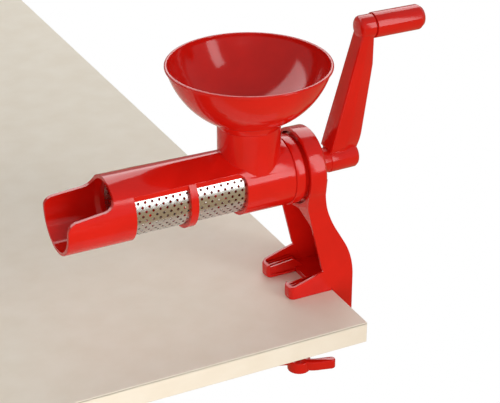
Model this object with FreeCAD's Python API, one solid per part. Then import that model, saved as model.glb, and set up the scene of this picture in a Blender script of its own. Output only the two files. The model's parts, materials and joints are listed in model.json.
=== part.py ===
"""Hand-cranked tomato strainer with a table clamp. Millimetres, +Z up.

The feet rest on the plane z = 0 and the origin is the middle of the seat between them. The barrel lies
along X, with its spout towards -X and the crank towards +X. Pieces on the barrel are built about its own
axis, with x = 0 on the hopper's axis, and on_barrel() puts them in place.
"""
import FreeCAD, Part
import os
from math import cos, pi, radians, sin, sqrt, tan

V = FreeCAD.Vector

# Where the barrel lies over the table seat
AXIS_HEIGHT = 129.0         # barrel axis above the table top
NECK_REACH = 69.5           # hopper axis in front of the middle of the seat

# Fits
FIT = 0.3                   # gap between pieces that lift, twist or slide over each other
RUN = 0.05                  # radial gap of a shaft in its bearing
FACE_GAP = 0.1              # gap between faces that turn on each other
PAST = 1.0                  # how far a cut runs past the face that it opens
THROUGH = 200.0             # longer than any one piece of the stand or crank is wide

# Barrel housing, along its own axis
BARREL_R = 33.5
BARREL_WALL = 3.7
SPOUT_TIP = -197.0          # front end of the open trough
MOUTH = -149.5              # front edge of the arch over the trough
WINDOW_1 = (-130.3, -75.5)  # ends of the front pair of windows
WINDOW_2 = (-68.0, -18.8)   # ends of the rear pair of windows
ROOF_HALF_ANGLE = 52.0      # the roof over the strainer reaches this far down each side
TROUGH_EDGE = 14.0          # top edge of the trough above the axis, at the mouth
TROUGH_FALL = 5.0           # how far that edge falls towards the tip
TROUGH_CORNER = 10.0        # radius of the trough's front corners
MOUTH_CURVE = 11.0          # radius where the arch runs into the trough's edge
LIP_INSET = 3.8             # inner lip behind the mouth, which stops the strainer
LIP_LENGTH = 5.0
ROOF_FLAT = 1.2             # depth of the flat panel along each side of the roof
ROOF_FLAT_ANGLE = 31.0      # direction that panel faces, from straight up
COLLAR_START = 36.0         # the thicker collar that plugs into the stand
COLLAR_PROUD = 0.7
SEAM_GROOVE = 0.8           # width and depth of the line in front of the collar
LUG_COUNT = 3
LUG_LENGTH = 4.0
LUG_PROUD = 1.8
LUG_ANGLE = 26.0
NOTCH_EASE = 2.0            # room each side of a lug in its entry notch, in degrees
TWIST = 40.0                # turn that brings the lugs to their entry notches

# Neck and hopper bowl
NECK_R = 30.4
NECK_WALL = 3.2
NECK_TOP = 57.0             # top of the neck above the barrel axis
BOWL_WALL = 2.2
BOWL_RIM_R = 77.2
BOWL_RIM_TOP = 118.0
BOWL_SIDE_DROP = 0.0463916   # the round side ends this far under the lip
BOWL_FOOT_R = 32.2          # where the bowl's round side meets its foot ring
BOWL_FOOT_TOP = 62.5
RIM_LIP = 1.6
RIM_LIP_HEIGHT = 3.2
RIM_BEVEL = 1.0
SPIGOT_LENGTH = 11.0

# Strainer
SCREEN_WALL = 0.6
SCREEN_CLEAR = 0.15
SCREEN_BEAD = 1.4           # turned ring at each end of the strainer
HOLE_ACROSS = 3.2
HOLE_PITCH = 10.4
HOLES_AROUND = 12
SCREEN_SETBACK = 8.0        # how far the strainer runs past the front windows
SCREEN_PAST = 6.0           # and past the rear ones

# Feed screw
FLIGHT_CLEAR = 0.8          # between the flight and the strainer
FLIGHT_PITCH = 34.0
FLIGHT_STEPS = 20           # flat steps in each turn of the flight
FLIGHT_ROOT = 4.4           # thickness of the flight at the core
FLIGHT_TIP = 2.4            # and at its rim
FLIGHT_SUNK = 3.0           # its root lies this far inside the core
CORE_REAR_R = 10.5
CORE_FRONT_R = 15.0
FLIGHT_START = -20.0        # distance of the flight's rear end from the bulkhead
NOSE_R = 6.0

# Drive shaft and its bearing in the stand
SHAFT_R = 6.0
SQUARE = 8.0                # across the flats of the shaft's square ends
SOCKET_DEPTH = 26.0
BUSH_WALL = 2.2
SEAL_THICK = 2.4
SEAL_WIDTH = 4.5
WASHER_THICK = 1.2
WASHER_INSET = 1.5          # of the thrust washer's rim inside the boss's

# Stand: ring, bulkhead and bearing boss
RING_FRONT = 47.0           # from the hopper axis
RING_LENGTH = 18.0
RING_R = 38.3
RING_BEVEL = 2.2
RING_GAP = 1.5              # shadow gap round the collar at the ring's mouth
RING_GAP_DEPTH = 5.0
BULKHEAD = 5.0
GASKET = 1.6
BOSS_R = 12.3
BOSS_LENGTH = 21.0

# Stand: legs, feet, spine and jaw
LEG_OUT = 33.0              # outer face of each leg from the middle
LEG_WALL = 4.0
WEB = 4.0
LEG_DEPTH = 22.0            # of the vertical spine, front to back
SEAT_HALF = 8.0             # the table edge lies this far behind the middle of the seat
SEAT_THICK = 5.0
FOOT_LENGTH = 48.0          # tip of a foot in front of the table edge
FOOT_WIDTH = 17.0
FOOT_TIP_HEIGHT = 14.0
FOOT_HEEL_HEIGHT = 24.0
FOOT_HEEL_SET = 2.0         # end of the foot's moulding in front of the table edge
FOOT_HEEL_RISE = 4.0        # the blank for a foot over its heel
FOOT_HEEL_FLAT = 10.0       # where the slope of a foot steepens into the leg
FOOT_LEG_RISE = 9.0         # and how far it rises there
FOOT_TIP_DROP = 1.2
FOOT_SLOPE_PAST = 5.0       # the sloping cut runs past the foot by this
FOOT_RIM = 2.6
FOOT_CORNER = 5.0
FOOT_FLOOR = 3.0
FOOT_RIBS = 2
FOOT_RIB_DROP = 1.5         # the ribs' tops below the foot's rim
FOOT_RIB_HALF = 0.8
LEG_TAPER = 36.0            # the legs narrow from the ring's width over this height
TAPER_ROUND = 40.0
RING_UNDER = 30.0           # where the ring's front runs into the leg, under the barrel's axis
RING_UNDER_ROUND = 25.0
LEG_FRONT_STEP = 13.0       # front of the leg over the feet, in front of the table edge
LEG_FRONT_LIFT = 3.0        # and over the feet's heels
REAR_DROP = 18.0            # straight part of the ring's rear, under the barrel's axis
REAR_STEP = 3.5             # the leg's rear stands out from the ring's by this
REAR_BEND = 42.0            # under the axis
REAR_BEND_ROUND = 110.0
BACK_BEND = 95.0            # where the leaning leg turns into the upright spine, under the axis
BACK_BEND_ROUND = 80.0
SPINE_FOOT_ROUND = 6.0
GUSSET_IN = 10.0            # the sloping webs under the ring start this far from the middle
GUSSET_FALL = 12.0          # and fall this much towards the legs
GUSSET_DROP = 0.5           # under the ring
JAW_TOP = -58.0             # upper face of the lower jaw
JAW_THICK = 12.0
JAW_REACH = 36.0            # in front of the table edge
JAW_HALF = 17.0
JAW_ROUND = 14.0            # of the jaw's two front corners

# Clamp screw
SCREW_R = 5.0
SCREW_SET = 19.5            # screw axis in front of the table edge
NUT_FLATS = 17.0
NUT_HEIGHT = 8.0
PAD_R = 14.0
PAD_THICK = 4.0
LINER_THICK = 2.0
BOARD = 22.0                # the clamp is drawn closed on a board this thick
NECK_OF_SCREW_R = 3.4
NECK_END_DROP = 1.0         # end of the neck under the clip's top
CLIP_THICK = 1.0
CLIP_WIDTH = 2.5
CLIP_ROOM = 1.5             # between the clip's recess and the liner, over the clip's own thickness
SCREW_LENGTH = 81.0
KNOB_HUB_R = 8.5
KNOB_HEIGHT = 13.0
WING_SPAN = 75.0
WING_THICK = 5.0
WING_SWELL = 4.5            # how far the waved sides stand out
WING_BEND = 0.6             # where they do, as a share of the way to a wing's tip
WING_INSET = 0.5            # the wings lie inside the hub's height by this at top and bottom
WING_ANGLE = -12.0
KNOB_FLOOR = 2.0
KNOB_PIN_R = 1.5
PIN_INSET = 0.5             # of each end of the pin inside the hub

# Crank
HUB_LENGTH = 26.0
CRANK_RADIUS = 132.5
CRANK_LEAN = 20.0           # how far the handle end stands out from the hub end
ARM_FOOT = (28.5, 28.0)     # arm section just over the hub, along X and across Y
ARM_HEAD = (17.0, 22.0)     # and at the handle
ARM_START = 15.0            # height over the axis where the arm stands clear of the hub
ARM_FOOT_INSET = 0.5        # the arm's rear in front of the hub's end
ARM_HEAD_INSET = 1.5        # and of the handle boss's end
ARM_TOP_DROP = 2.0          # the arm ends inside its hub and its boss by this much
ARM_FRONT_ROUND = 2.5
ARM_REAR_ROUND = 6.0
HEAD_R = 11.0
HEAD_LENGTH = 17.0
SCREW_HEAD_R = 6.0
SCREW_HEAD_HEIGHT = 4.0
CRANK_SCREW_R = 2.5
CRANK_SCREW_LENGTH = 15.0
CRANK_WASHER_R = 8.0
KEY_R = 2.9                 # corners of the hexagon socket in the crank screw
KEY_DEPTH = 2.5

# Handle grip
GRIP_R = 12.5
GRIP_LENGTH = 54.0
GRIP_ROUND = 2.0
AXLE_R = 4.0
AXLE_FLOOR = 4.0            # of the boss behind the axle's end
AXLE_HEAD_R = 6.5
AXLE_HEAD = 3.5
AXLE_ROOM = 1.0             # between the axle's head and the plug
GRIP_WASHER = 1.0
GRIP_WASHER_INSET = 2.0     # of the washer's rim inside the boss's
PLUG_THICK = 3.0

# Worked out from the sizes above
BORE_R = BARREL_R - BARREL_WALL
COLLAR_R = BARREL_R + COLLAR_PROUD
RING_REAR = RING_FRONT + RING_LENGTH
BULKHEAD_FACE = RING_REAR - BULKHEAD
COLLAR_END = BULKHEAD_FACE - GASKET - FACE_GAP
SEAT_BORE_R = COLLAR_R + FIT
LUG_R = COLLAR_R + LUG_PROUD
LUG_MIDDLE = RING_FRONT + RING_GAP_DEPTH + LUG_LENGTH / 2 + 1.5
SCREEN_R = BORE_R - SCREEN_CLEAR
SCREEN_IN_R = SCREEN_R - SCREEN_WALL
SCREEN_FRONT = WINDOW_1[0] - SCREEN_SETBACK
SCREEN_REAR = WINDOW_2[1] + SCREEN_PAST
FLIGHT_R = SCREEN_IN_R - FLIGHT_CLEAR
BEARING_R = SHAFT_R + RUN
BUSH_R = BEARING_R + BUSH_WALL
BOSS_END = RING_REAR + BOSS_LENGTH
HUB_START = BOSS_END + WASHER_THICK + 2 * FACE_GAP
HUB_END = HUB_START + HUB_LENGTH
SHAFT_FRONT = BULKHEAD_FACE - SEAL_THICK - SOCKET_DEPTH
SHAFT_REAR = HUB_END - SCREW_HEAD_HEIGHT - 2.0
HEAD_REAR = HUB_END + CRANK_LEAN - 3.0
HEAD_FRONT = HEAD_REAR - HEAD_LENGTH
GRIP_START = HEAD_REAR + GRIP_WASHER + 2 * FACE_GAP
GRIP_END = GRIP_START + GRIP_LENGTH
TABLE_EDGE = SEAT_HALF
SPINE_BACK = TABLE_EDGE + LEG_DEPTH
FOOT_TIP = TABLE_EDGE - FOOT_LENGTH
SCREW_X = TABLE_EDGE - SCREW_SET
PAD_TOP = -BOARD
PAD_BOTTOM = PAD_TOP - LINER_THICK - PAD_THICK
SCREW_TOP = PAD_TOP - LINER_THICK - CLIP_THICK - NECK_END_DROP
SCREW_BOTTOM = SCREW_TOP - SCREW_LENGTH
JAW_BOTTOM = JAW_TOP - JAW_THICK


def rod(radius, start, end, y=0.0, z=0.0):
    """A cylinder along X."""
    return Part.makeCylinder(radius, end - start, V(start, y, z), V(1, 0, 0))


def tube(outer, inner, start, end, y=0.0, z=0.0):
    """A tube along X."""
    return rod(outer, start, end, y, z).cut(rod(inner, start, end, y, z))


def post(radius, bottom, top, x=0.0, y=0.0):
    """A cylinder along Z."""
    return Part.makeCylinder(radius, top - bottom, V(x, y, bottom), V(0, 0, 1))


def block(x0, x1, y0, y1, z0, z1):
    return Part.makeBox(x1 - x0, y1 - y0, z1 - z0, V(x0, y0, z0))


def square_bar(flats, start, end):
    """A square bar along X."""
    half = flats / 2
    return block(start, end, -half, half, -half, half)


def side_profile(wire, y0, y1):
    """A profile drawn in the XZ plane at y = 0, as thick as from y0 to y1."""
    face = Part.Face(wire)
    face.translate(V(0, y0, 0))
    return face.extrude(V(0, y1 - y0, 0))


def rounded_outline(points, radii):
    """A closed wire through the points, with its corners rounded where a radius is given."""
    corners = []
    count = len(points)
    for i, (point, radius) in enumerate(zip(points, radii)):
        before = (points[i - 1] - point).normalize()
        after = (points[(i + 1) % count] - point).normalize()
        if radius <= 0:
            corners.append((point, None, point))
            continue
        half = before.getAngle(after) / 2
        reach = radius / tan(half)
        middle = (before + after).normalize() * (radius / sin(half))
        inside = middle - (before + after).normalize() * radius
        corners.append((point + before * reach, point + inside, point + after * reach))
    edges = []
    for i, (start, bulge, end) in enumerate(corners):
        if bulge is not None:
            edges.append(Part.Arc(start, bulge, end).toShape())
        following = corners[(i + 1) % count][0]
        if (following - end).Length > 1e-6:
            edges.append(Part.LineSegment(end, following).toShape())
    return Part.Wire(edges)


def on_barrel(shape):
    """Moves a piece built about the barrel's axis to its place over the table seat."""
    shape.translate(V(-NECK_REACH, 0, AXIS_HEIGHT))
    return shape


def trough_cut():
    """All that is cut away over the open trough, in front of the mouth."""
    top = BARREL_R + 5 * PAST
    tip = SPOUT_TIP
    front = tip - 20 * PAST
    edge_tip = TROUGH_EDGE - TROUGH_FALL
    points = [V(MOUTH, 0, top), V(MOUTH, 0, TROUGH_EDGE), V(tip, 0, edge_tip), V(tip, 0, -top), V(front, 0, -top),
              V(front, 0, top)]
    radii = [0, MOUTH_CURVE, TROUGH_CORNER, 0, 0, 0]
    return side_profile(rounded_outline(points, radii), -top, top)


def window_cut(window):
    """The wall taken out between the ends of a window, all round but for the roof."""
    start, end = window
    ring = tube(BARREL_R + 2 * PAST, BORE_R - PAST / 2, start, end)
    reach = BARREL_R * 2
    side = reach * tan(radians(ROOF_HALF_ANGLE))
    wedge = Part.makePolygon([V(start, 0, 0), V(start, side, reach), V(start, -side, reach), V(start, 0, 0)])
    roof = Part.Face(wedge).extrude(V(end - start, 0, 0))
    return ring.cut(roof)


def roof_flats():
    """What is planed off the barrel to leave a flat panel along each side of the roof."""
    start = WINDOW_1[0]
    end = WINDOW_2[1]
    wide = BARREL_R * 2
    flats = []
    for turn in (ROOF_FLAT_ANGLE, -ROOF_FLAT_ANGLE):
        slab = block(start, end, -wide / 2, wide / 2, BARREL_R - ROOF_FLAT, BARREL_R + 5 * PAST)
        slab.rotate(V(0, 0, 0), V(1, 0, 0), turn)
        flats.append(slab)
    return flats


def barrel_housing():
    """Moulded barrel with its trough, windows, neck and the collar that plugs into the stand."""
    body = rod(BARREL_R, SPOUT_TIP, COLLAR_START).fuse(rod(COLLAR_R, COLLAR_START, COLLAR_END))
    body = body.cut(roof_flats()).fuse(post(NECK_R, 0, NECK_TOP))
    groove = tube(COLLAR_R + PAST, BARREL_R - SEAM_GROOVE, COLLAR_START - SEAM_GROOVE, COLLAR_START)
    bore = rod(BORE_R, SPOUT_TIP - PAST, COLLAR_END + PAST)
    throat = post(NECK_R - NECK_WALL, 0, NECK_TOP + PAST)
    cuts = [groove, trough_cut(), throat, window_cut(WINDOW_1), window_cut(WINDOW_2)]
    body = body.cut(bore.fuse(cuts))
    lip_front = SCREEN_FRONT - FACE_GAP - LIP_LENGTH
    lip = rod(BORE_R + PAST / 2, lip_front - LIP_INSET, lip_front + LIP_LENGTH)
    flare = Part.makeCone(BORE_R, BORE_R - LIP_INSET, LIP_INSET, V(lip_front - LIP_INSET, 0, 0), V(1, 0, 0))
    lip = lip.cut(flare.fuse(rod(BORE_R - LIP_INSET, lip_front, lip_front + LIP_LENGTH)))
    body = body.fuse(lip.cut(trough_cut()))
    lugs = []
    for i in range(LUG_COUNT):
        lug = Part.makeCylinder(LUG_R, LUG_LENGTH, V(LUG_MIDDLE - LUG_LENGTH / 2, 0, 0), V(1, 0, 0), LUG_ANGLE)
        lug = lug.cut(rod(COLLAR_R - PAST, LUG_MIDDLE - LUG_LENGTH, LUG_MIDDLE + LUG_LENGTH))
        lug.rotate(V(0, 0, 0), V(1, 0, 0), 360.0 * i / LUG_COUNT)
        lugs.append(lug)
    return on_barrel(body.fuse(lugs).removeSplitter())


def strainer_screen():
    """Perforated stainless tube with a turned ring at each end."""
    body = tube(SCREEN_R, SCREEN_IN_R, SCREEN_FRONT, SCREEN_REAR)
    length = SCREEN_REAR - SCREEN_FRONT
    rows = int((length - 4 * SCREEN_BEAD) / HOLE_PITCH)
    first = SCREEN_FRONT + (length - (rows - 1) * HOLE_PITCH) / 2
    half = HOLE_ACROSS / 2
    diamond = Part.makePolygon([V(-half, 0, 0), V(0, -half, 0), V(half, 0, 0), V(0, half, 0), V(-half, 0, 0)])
    prism = Part.Face(diamond).extrude(V(0, 0, SCREEN_WALL * 4))
    prism.translate(V(0, 0, SCREEN_IN_R - SCREEN_WALL))
    holes = []
    for row in range(rows):
        for k in range(HOLES_AROUND):
            hole = prism.copy()
            hole.rotate(V(0, 0, 0), V(1, 0, 0), 360.0 * (k + row % 2 / 2) / HOLES_AROUND)
            hole.translate(V(first + row * HOLE_PITCH, 0, 0))
            holes.append(hole)
    body = body.cut(Part.makeCompound(holes))
    return on_barrel(body)


def hopper_bowl():
    """Round bowl turned about the neck's axis, with a foot ring and a spigot that drops into the neck."""
    spigot_r = NECK_R - NECK_WALL - FIT
    spigot_in = spigot_r - BOWL_WALL
    base = NECK_TOP
    lip_low = BOWL_RIM_TOP - RIM_LIP_HEIGHT
    side_end = lip_low - BOWL_SIDE_DROP
    middle = (BOWL_RIM_R ** 2 - BOWL_FOOT_R ** 2 + side_end ** 2 - BOWL_FOOT_TOP ** 2) / (side_end - BOWL_FOOT_TOP) / 2
    outside = sqrt(BOWL_FOOT_R ** 2 + (middle - BOWL_FOOT_TOP) ** 2)
    inside = outside - BOWL_WALL

    def on_round(r, radius):
        return V(r, 0, middle - sqrt(radius ** 2 - r ** 2))

    def round_side(start, end, radius):
        half_way = (start.x + end.x) / 2
        return Part.Arc(start, on_round(half_way, radius), end)

    lip_r = BOWL_RIM_R + RIM_LIP
    side_top = on_round(BOWL_RIM_R, outside)
    in_foot = on_round(spigot_in, inside)
    in_top = on_round(BOWL_RIM_R - BOWL_WALL, inside)
    outline = [V(spigot_in, 0, base - SPIGOT_LENGTH), V(spigot_r, 0, base - SPIGOT_LENGTH), V(spigot_r, 0, base),
               V(NECK_R, 0, base), V(BOWL_FOOT_R, 0, BOWL_FOOT_TOP)]
    rim = [side_top, V(BOWL_RIM_R, 0, lip_low), V(lip_r, 0, lip_low + RIM_LIP / 2),
           V(lip_r, 0, BOWL_RIM_TOP - RIM_BEVEL), V(lip_r - RIM_BEVEL, 0, BOWL_RIM_TOP), V(in_top.x, 0, BOWL_RIM_TOP), in_top]
    edges = [Part.LineSegment(p, q).toShape() for p, q in zip(outline, outline[1:])]
    edges.append(round_side(outline[-1], side_top, outside).toShape())
    edges += [Part.LineSegment(p, q).toShape() for p, q in zip(rim, rim[1:])]
    edges.append(round_side(in_top, in_foot, inside).toShape())
    edges.append(Part.LineSegment(in_foot, outline[0]).toShape())
    face = Part.Face(Part.Wire(edges))
    return on_barrel(face.revolve(V(0, 0, 0), V(0, 0, 1), 360))


def flight(root, start, end):
    """The helical flight along X, in flat steps, thicker at its root than at its rim."""
    steps = round((end - start) / FLIGHT_PITCH * FLIGHT_STEPS)
    profile = [(root, -FLIGHT_ROOT / 2), (FLIGHT_R, -FLIGHT_TIP / 2), (FLIGHT_R, FLIGHT_TIP / 2),
               (root, FLIGHT_ROOT / 2)]
    rings = []
    for i in range(steps + 1):
        turn = 2 * pi * i / FLIGHT_STEPS
        x = start + (end - start) * i / steps
        rings.append([V(x + along, r * cos(turn), r * sin(turn)) for r, along in profile])
    faces = [Part.Face(Part.makePolygon(ring + ring[:1])) for ring in (rings[0], rings[-1])]
    for ring, following in zip(rings, rings[1:]):
        for j in range(len(profile)):
            k = (j + 1) % len(profile)
            for corners in ((ring[j], ring[k], following[k]), (ring[j], following[k], following[j])):
                faces.append(Part.Face(Part.makePolygon(list(corners) + [corners[0]])))
    shell = Part.Shell(faces)
    shell.sewShape()
    return Part.Solid(shell)


def feed_screw():
    """Tapered core with one helical flight, a round nose and a square socket for the drive shaft."""
    rear = BULKHEAD_FACE - SEAL_THICK - FACE_GAP
    front = SCREEN_FRONT + NOSE_R
    flight_rear = BULKHEAD_FACE + FLIGHT_START
    core = Part.makeCone(CORE_FRONT_R, CORE_REAR_R, rear - front, V(front, 0, 0), V(1, 0, 0))
    dome = Part.makeSphere(CORE_FRONT_R, V(front, 0, 0), V(-1, 0, 0))
    dome = dome.common(rod(CORE_FRONT_R + PAST, front - NOSE_R, front))
    root = CORE_REAR_R - FLIGHT_SUNK
    body = core.fuse([dome, flight(root, front, flight_rear)])
    return on_barrel(body.cut(square_bar(SQUARE + FIT, SHAFT_FRONT - FACE_GAP, rear + PAST)))


def drive_shaft():
    """Round where it runs in the bush, square where it drives the screw and takes the crank."""
    round_start = BULKHEAD_FACE - SEAL_THICK
    round_end = HUB_START
    body = rod(SHAFT_R, round_start, round_end)
    body = body.fuse(square_bar(SQUARE, SHAFT_FRONT, round_start))
    body = body.fuse(square_bar(SQUARE, round_end, SHAFT_REAR))
    return on_barrel(body.cut(rod(CRANK_SCREW_R, SHAFT_REAR - CRANK_SCREW_LENGTH, SHAFT_REAR + PAST)))


def shaft_bush():
    """Plain bearing, pressed into the boss from behind."""
    body = rod(BUSH_R, BULKHEAD_FACE, BOSS_END)
    return on_barrel(body.cut(rod(BEARING_R, BULKHEAD_FACE - PAST, BOSS_END + PAST)))


def shaft_seal():
    """Soft ring between the feed screw and the bulkhead."""
    start = BULKHEAD_FACE - SEAL_THICK
    return on_barrel(tube(SHAFT_R + FIT + SEAL_WIDTH, SHAFT_R + FIT, start, BULKHEAD_FACE))


def housing_gasket():
    """Flat ring that the barrel's collar closes on."""
    return on_barrel(tube(COLLAR_R - FIT, BORE_R, BULKHEAD_FACE - GASKET, BULKHEAD_FACE))


def thrust_washer():
    start = BOSS_END + FACE_GAP
    return on_barrel(tube(BOSS_R - WASHER_INSET, SHAFT_R + FIT, start, start + WASHER_THICK))


def arm_blank():
    """The arm between hub and handle boss: a leaning side view met by a tapered front view, edges rounded."""
    foot_x, foot_y = ARM_FOOT
    head_x, head_y = ARM_HEAD
    foot_rear = HUB_END - ARM_FOOT_INSET
    head_rear = HEAD_REAR - ARM_HEAD_INSET
    top = CRANK_RADIUS - ARM_TOP_DROP
    side = [V(foot_rear, 0, 0), V(head_rear, 0, top), V(head_rear - head_x, 0, top),
            V(foot_rear - foot_x, 0, ARM_START), V(HUB_START, 0, BOSS_R - ARM_TOP_DROP), V(HUB_START, 0, 0)]
    profile = side_profile(rounded_outline(side, [0] * 6), -foot_y, foot_y)
    front = [V(0, -foot_y / 2, 0), V(0, foot_y / 2, 0), V(0, head_y / 2, top), V(0, -head_y / 2, top)]
    face = Part.Face(rounded_outline(front, [0] * 4))
    face.translate(V(HUB_START - THROUGH / 4, 0, 0))
    blank = profile.common(face.extrude(V(THROUGH, 0, 0)))
    long_edges = [e for e in blank.Edges if e.BoundBox.ZLength > CRANK_RADIUS / 2]
    middle = sum(e.BoundBox.Center.x for e in long_edges) / len(long_edges)
    rear_edges = [e for e in long_edges if e.BoundBox.Center.x > middle]
    blank = blank.makeFillet(ARM_REAR_ROUND, rear_edges)
    long_edges = [e for e in blank.Edges if e.BoundBox.ZLength > CRANK_RADIUS / 2]
    least = min(e.BoundBox.Center.x for e in long_edges)
    return blank.makeFillet(ARM_FRONT_ROUND, [e for e in long_edges if e.BoundBox.Center.x < least + 0.5])


def crank_arm():
    """Hub, leaning tapered arm and handle boss, as one moulding."""
    hub = rod(BOSS_R, HUB_START, HUB_END)
    head = rod(HEAD_R, HEAD_FRONT, HEAD_REAR, 0, CRANK_RADIUS)
    body = hub.fuse([head, arm_blank()])
    socket = square_bar(SQUARE + FIT, HUB_START - PAST, SHAFT_REAR)
    seat = rod(CRANK_WASHER_R + FIT, HUB_END - SCREW_HEAD_HEIGHT - WASHER_THICK, HUB_END + PAST)
    clear = rod(CRANK_SCREW_R + FIT, SHAFT_REAR - PAST, HUB_END)
    axle = rod(AXLE_R, HEAD_FRONT + AXLE_FLOOR, HEAD_REAR + PAST, 0, CRANK_RADIUS)
    return on_barrel(body.cut([socket, seat, clear, axle]).removeSplitter())


def crank_washer():
    start = HUB_END - SCREW_HEAD_HEIGHT - WASHER_THICK
    return on_barrel(tube(CRANK_WASHER_R, CRANK_SCREW_R + FIT, start, start + WASHER_THICK))


def crank_screw():
    """Cap screw that holds the crank on the shaft's square end."""
    head_start = HUB_END - SCREW_HEAD_HEIGHT
    head = rod(SCREW_HEAD_R, head_start, HUB_END)
    body = head.fuse(rod(CRANK_SCREW_R, SHAFT_REAR - CRANK_SCREW_LENGTH + PAST, head_start))
    turns = [radians(60 * i) for i in range(7)]
    hexagon = [V(HUB_END + PAST, KEY_R * cos(turn), KEY_R * sin(turn)) for turn in turns]
    return on_barrel(body.cut(Part.Face(Part.makePolygon(hexagon)).extrude(V(-KEY_DEPTH - PAST, 0, 0))))


def handle_grip():
    """Round grip, bored for its axle and recessed at the outer end."""
    body = rod(GRIP_R, GRIP_START, GRIP_END, 0, CRANK_RADIUS)
    ends = [e for e in body.Edges if len(e.Vertexes) == 1]
    body = body.makeChamfer(GRIP_ROUND, ends)
    recess = GRIP_END - PLUG_THICK - AXLE_HEAD - AXLE_ROOM
    body = body.cut(rod(AXLE_R + FIT, GRIP_START - PAST, GRIP_END, 0, CRANK_RADIUS))
    return on_barrel(body.cut(rod(AXLE_HEAD_R + FIT, recess, GRIP_END + PAST, 0, CRANK_RADIUS)))


def grip_axle():
    """Shoulder pin from the boss through the grip, with its head in the grip's recess."""
    head_start = GRIP_END - PLUG_THICK - AXLE_HEAD - AXLE_ROOM + FACE_GAP
    body = rod(AXLE_R, HEAD_FRONT + AXLE_FLOOR, head_start, 0, CRANK_RADIUS)
    return on_barrel(body.fuse(rod(AXLE_HEAD_R, head_start, head_start + AXLE_HEAD, 0, CRANK_RADIUS)))


def grip_washer():
    start = HEAD_REAR + FACE_GAP
    return on_barrel(tube(HEAD_R - GRIP_WASHER_INSET, AXLE_R + FIT, start, start + GRIP_WASHER, 0, CRANK_RADIUS))


def grip_plug():
    """Cap that closes the end of the grip."""
    start = GRIP_END - PLUG_THICK
    return on_barrel(rod(AXLE_HEAD_R + FIT, start, GRIP_END, 0, CRANK_RADIUS))


def leg_outline():
    """Side view of the stand from the ring down to the lower jaw, in the part's own frame."""
    front = RING_FRONT - NECK_REACH
    rear = RING_REAR - NECK_REACH
    edge = TABLE_EDGE
    back = SPINE_BACK
    top = AXIS_HEIGHT
    points = [V(front, 0, top), V(front, 0, top - RING_UNDER),
              V(edge - LEG_FRONT_STEP, 0, FOOT_HEEL_HEIGHT + LEG_FRONT_LIFT), V(edge, 0, 0), V(edge, 0, JAW_BOTTOM),
              V(back, 0, JAW_BOTTOM), V(back, 0, top - BACK_BEND), V(rear + REAR_STEP, 0, top - REAR_BEND),
              V(rear, 0, top - REAR_DROP), V(rear, 0, top)]
    radii = [0, RING_UNDER_ROUND, 0, 0, 0, SPINE_FOOT_ROUND, BACK_BEND_ROUND, REAR_BEND_ROUND, 0, 0]
    return rounded_outline(points, radii)


def front_view(half_width, top_half_width, bottom):
    """Front view of the stand, tapering from the ring's width down to the legs', as thick as the whole stand."""
    top = AXIS_HEIGHT
    taper_end = top - LEG_TAPER
    points = [V(0, -top_half_width, top), V(0, -half_width, taper_end), V(0, -half_width, bottom),
              V(0, half_width, bottom), V(0, half_width, taper_end), V(0, top_half_width, top)]
    face = Part.Face(rounded_outline(points, [0, TAPER_ROUND, 0, 0, TAPER_ROUND, 0]))
    face.translate(V(-THROUGH / 2, 0, 0))
    return face.extrude(V(THROUGH, 0, 0))


def leg_hollow():
    """Front view of the space between the legs, roofed by two sloping webs under the ring."""
    inner = LEG_OUT - LEG_WALL
    crown = AXIS_HEIGHT - RING_R - GUSSET_DROP
    points = [V(0, -inner, SEAT_THICK), V(0, inner, SEAT_THICK), V(0, inner, crown - GUSSET_FALL),
              V(0, GUSSET_IN, crown), V(0, -GUSSET_IN, crown), V(0, -inner, crown - GUSSET_FALL)]
    face = Part.Face(rounded_outline(points, [0] * 6))
    face.translate(V(-THROUGH / 2, 0, 0))
    return face.extrude(V(THROUGH, 0, 0))


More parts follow.
